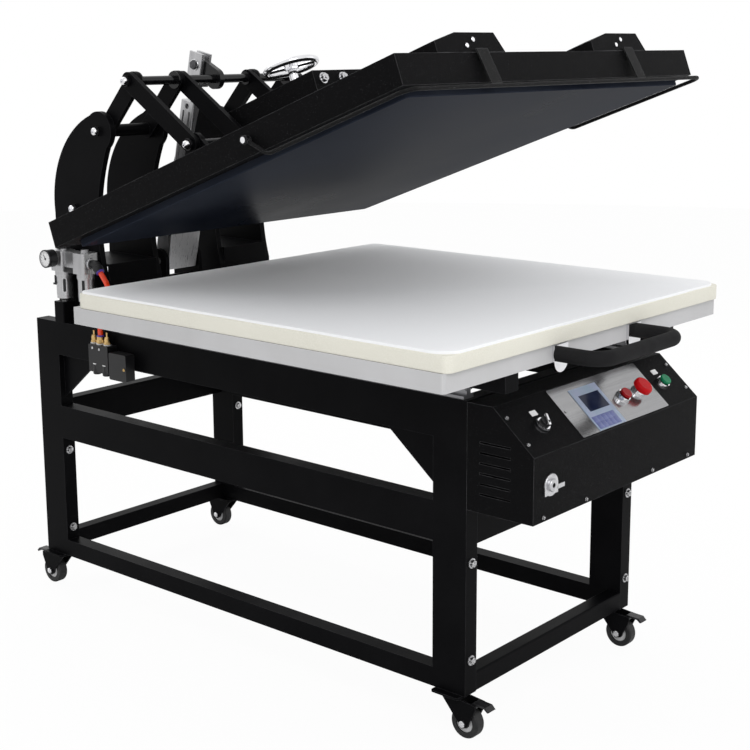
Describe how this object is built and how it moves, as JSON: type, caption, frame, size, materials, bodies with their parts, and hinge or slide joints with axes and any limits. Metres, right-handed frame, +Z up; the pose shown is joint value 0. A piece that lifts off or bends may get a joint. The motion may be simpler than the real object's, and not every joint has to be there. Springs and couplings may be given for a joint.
{
  "type": "pneumatic heat press",
  "caption": "Floor-standing pneumatic heat press with a tilting heated upper platen on a toggle linkage, a pull-out padded lower platen and a control box on a wheeled frame.",
  "frame": {"origin": "on the floor under the middle of the whole object's bounding box, at rest with the upper platen open and the lower platen pulled out", "axes": "+Z up, +X to the operator's right, -Y towards the operator"},
  "size_m": [1.0158, 1.561, 1.3383],
  "materials": {
    "frame_black": "satin",
    "textured_black": "speckled powder coat",
    "plate_coating": "dark non-stick coating",
    "tray_grey": "satin",
    "plated_steel": "zinc plated",
    "chrome_trim": "polished",
    "cast_aluminium": "satin",
    "brushed_panel": "brushed",
    "foam_cream": "open-cell foam",
    "felt_white": "felt",
    "foam_black": "foam",
    "wheel_black": "hard rubber",
    "red_plastic": "gloss",
    "dark_red_plastic": "gloss",
    "green_plastic": "gloss",
    "black_plastic": "matte",
    "bowl_plastic": "smoked",
    "orange_tube": "gloss",
    "brass_parts": "satin"
  },
  "bodies": {
    "frame": {"side_frame_left": "frame_black", "side_frame_right": "frame_black", "cross_rear_middle": "frame_black", "cross_rear_low": "frame_black", "cross_front_middle": "frame_black", "cross_front_low": "frame_black", "cross_front_top": "frame_black", "tower_beam_front": "frame_black", "tower_beam_rear": "frame_black", "tower_left": "textured_black", "tower_right": "textured_black", "slide_rail_left": "plated_steel", "slide_rail_right": "plated_steel", "cylinder_bracket": "frame_black", "control_box": "textured_black", "control_panel": "brushed_panel", "control_bezels": "chrome_trim", "supply_bracket": "frame_black", "supply_unit": "cast_aluminium", "valve_body": "black_plastic", "valve_fittings": "brass_parts", "air_tube": "orange_tube"},
    "platen": {"platen_housing": "textured_black", "heating_plate": "plate_coating", "platen_bridge": "textured_black", "hinge_arm_left": "frame_black", "hinge_arm_right": "frame_black", "platen_shaft": "plated_steel", "switch_box_left": "textured_black", "switch_box_right": "textured_black"},
    "knee_links": {"front_links": "frame_black", "knee_shaft": "frame_black"},
    "tower_links": {"rear_links": "frame_black"},
    "cylinder_foot": {"cylinder_rod": "cast_aluminium"},
    "cylinder_head": {"cylinder_barrel": "cast_aluminium"},
    "drawer": {"tray": "tray_grey", "tray_runners": "frame_black", "foam_pad": "foam_cream", "felt_cover": "felt_white", "handle_bar": "plated_steel", "handle_grip": "foam_black"},
    "pressure_wheel": {"handwheel": "chrome_trim"},
    "guard_bar": {"safety_bar": "frame_black"},
    "red_push": {"red_button": "dark_red_plastic"},
    "green_push": {"green_button": "green_plastic"},
    "stop_push": {"stop_button": "red_plastic"},
    "mode_selector": {"selector": "chrome_trim"},
    "regulator_knob": {"supply_knob": "black_plastic"},
    "caster_front_left": {"caster_fork_front_left": "frame_black"},
    "wheel_front_left": {"caster_wheel_front_left": "wheel_black"},
    "pedal_front_left": {"brake_pedal_front_left": "black_plastic"},
    "caster_front_right": {"caster_fork_front_right": "frame_black"},
    "wheel_front_right": {"caster_wheel_front_right": "wheel_black"},
    "pedal_front_right": {"brake_pedal_front_right": "black_plastic"},
    "caster_rear_left": {"caster_fork_rear_left": "frame_black"},
    "wheel_rear_left": {"caster_wheel_rear_left": "wheel_black"},
    "pedal_rear_left": {"brake_pedal_rear_left": "black_plastic"},
    "caster_rear_right": {"caster_fork_rear_right": "frame_black"},
    "wheel_rear_right": {"caster_wheel_rear_right": "wheel_black"},
    "pedal_rear_right": {"brake_pedal_rear_right": "black_plastic"}
  },
  "joints": [
    {"name": "platen_hinge", "type": "hinge", "parent": "frame", "child": "platen", "pos_m": [0, 0.5975, 0.944], "axis": [1, 0, 0], "range_deg": [0, 20.3]},
    {"name": "knee_links_hinge", "type": "hinge", "parent": "platen", "child": "knee_links", "pos_m": [0, 0.19878, 1.1093], "axis": [1, 0, 0], "range_deg": [-13.62, 0]},
    {"name": "tower_links_hinge", "type": "hinge", "parent": "frame", "child": "tower_links", "pos_m": [0, 0.5025, 1.126], "axis": [1, 0, 0], "range_deg": [0, 51.69]},
    {"name": "cylinder_swing", "type": "hinge", "parent": "frame", "child": "cylinder_foot", "pos_m": [0, 0.5555, 0.8], "axis": [1, 0, 0], "range_deg": [0, 11.71]},
    {"name": "cylinder_stroke", "type": "slide", "parent": "cylinder_foot", "child": "cylinder_head", "axis": [0, -0.2171, 0.9761], "range_m": [-0.09812, 0]},
    {"name": "drawer_slide", "type": "slide", "parent": "frame", "child": "drawer", "axis": [0, 1, 0], "range_m": [-0.42, 0.061]},
    {"name": "pressure_wheel_turn", "type": "hinge", "parent": "platen", "child": "pressure_wheel", "pos_m": [0, 0.14958, 1.26941], "axis": [0, 0.3469, 0.9379], "continuous": true},
    {"name": "guard_bar_trip", "type": "hinge", "parent": "platen", "child": "guard_bar", "pos_m": [0, -0.21446, 1.14712], "axis": [1, 0, 0], "range_deg": [-1.6, 0]},
    {"name": "red_press", "type": "slide", "parent": "frame", "child": "red_push", "axis": [0, 0.6562, -0.7546], "range_m": [0, 0.003], "stiffness_N_per_m": 400},
    {"name": "green_press", "type": "slide", "parent": "frame", "child": "green_push", "axis": [0, 0.6562, -0.7546], "range_m": [0, 0.003], "stiffness_N_per_m": 400},
    {"name": "stop_press", "type": "slide", "parent": "frame", "child": "stop_push", "axis": [0, 0.6562, -0.7546], "range_m": [0, 0.004]},
    {"name": "selector_turn", "type": "hinge", "parent": "frame", "child": "mode_selector", "pos_m": [-0.219, -0.69263, 0.63649], "axis": [0, -0.6562, 0.7546], "range_deg": [-45, 45]},
    {"name": "regulator_turn", "type": "hinge", "parent": "frame", "child": "regulator_knob", "pos_m": [-0.294, 0.6175, 0.86], "axis": [0, 0, 1], "continuous": true},
    {"name": "swivel_front_left", "type": "hinge", "parent": "frame", "child": "caster_front_left", "pos_m": [-0.2825, -0.5355, 0.089], "axis": [0, 0, 1], "continuous": true},
    {"name": "roll_front_left", "type": "hinge", "parent": "caster_front_left", "child": "wheel_front_left", "pos_m": [-0.2825, -0.5695, 0.032], "axis": [1, 0, 0], "continuous": true},
    {"name": "brake_front_left", "type": "hinge", "parent": "caster_front_left", "child": "pedal_front_left", "pos_m": [-0.2825, -0.5915, 0.073], "axis": [1, 0, 0], "range_deg": [0, 10]},
    {"name": "swivel_front_right", "type": "hinge", "parent": "frame", "child": "caster_front_right", "pos_m": [0.2825, -0.5355, 0.089], "axis": [0, 0, 1], "continuous": true},
    {"name": "roll_front_right", "type": "hinge", "parent": "caster_front_right", "child": "wheel_front_right", "pos_m": [0.2825, -0.5695, 0.032], "axis": [1, 0, 0], "continuous": true},
    {"name": "brake_front_right", "type": "hinge", "parent": "caster_front_right", "child": "pedal_front_right", "pos_m": [0.2825, -0.5915, 0.073], "axis": [1, 0, 0], "range_deg": [0, 10]},
    {"name": "swivel_rear_left", "type": "hinge", "parent": "frame", "child": "caster_rear_left", "pos_m": [-0.2825, 0.6885, 0.089], "axis": [0, 0, 1], "continuous": true},
    {"name": "roll_rear_left", "type": "hinge", "parent": "caster_rear_left", "child": "wheel_rear_left", "pos_m": [-0.2825, 0.7225, 0.032], "axis": [1, 0, 0], "continuous": true},
    {"name": "brake_rear_left", "type": "hinge", "parent": "caster_rear_left", "child": "pedal_rear_left", "pos_m": [-0.2825, 0.7445, 0.073], "axis": [-1, 0, 0], "range_deg": [0, 10]},
    {"name": "swivel_rear_right", "type": "hinge", "parent": "frame", "child": "caster_rear_right", "pos_m": [0.2825, 0.6885, 0.089], "axis": [0, 0, 1], "continuous": true},
    {"name": "roll_rear_right", "type": "hinge", "parent": "caster_rear_right", "child": "wheel_rear_right", "pos_m": [0.2825, 0.7225, 0.032], "axis": [1, 0, 0], "continuous": true},
    {"name": "brake_rear_right", "type": "hinge", "parent": "caster_rear_right", "child": "pedal_rear_right", "pos_m": [0.2825, 0.7445, 0.073], "axis": [-1, 0, 0], "range_deg": [0, 10]}
  ],
  "couplings": [
    {"joint": "knee_links_hinge", "follows": "platen_hinge", "ratio": -0.67019},
    {"joint": "tower_links_hinge", "follows": "platen_hinge", "ratio": 2.5451},
    {"joint": "cylinder_swing", "follows": "platen_hinge", "ratio": 0.57586},
    {"joint": "cylinder_stroke", "follows": "platen_hinge", "m_per_rad": -0.27638}
  ]
}
